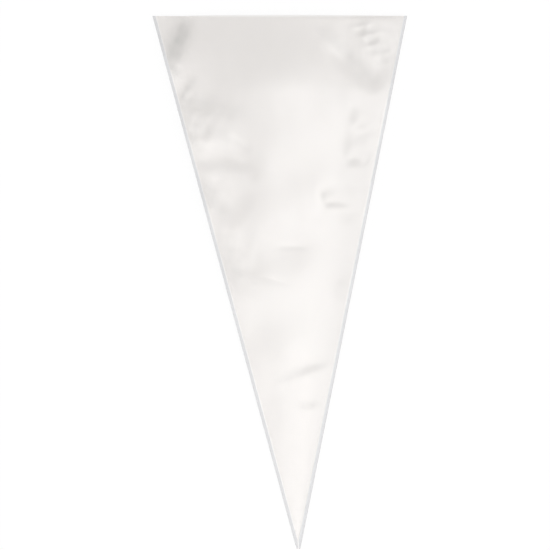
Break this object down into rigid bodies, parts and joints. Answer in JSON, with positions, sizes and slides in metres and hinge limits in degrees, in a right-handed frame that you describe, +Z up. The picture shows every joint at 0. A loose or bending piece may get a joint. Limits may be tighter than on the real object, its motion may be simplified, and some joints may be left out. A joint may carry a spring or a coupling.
{
  "type": "cellophane sweet bag",
  "caption": "Clear cone-shaped film bag for sweets, lying flat and slightly puffed, welded along both long sides and open across the short one.",
  "frame": {"origin": "on the surface that the bag lies on, under the middle of the mouth's width and half-way down the bag's length", "axes": "+Y along the bag towards its open mouth, +X across the mouth to the right as seen from above with the mouth at the top, +Z up through both panels"},
  "size_m": [0.177, 0.371, 0.0164],
  "materials": {
    "film": "clear glossy film, very slightly warm grey where it darkens a white ground"
  },
  "bodies": {
    "root": {"film_bag": "film"}
  },
  "joints": []
}
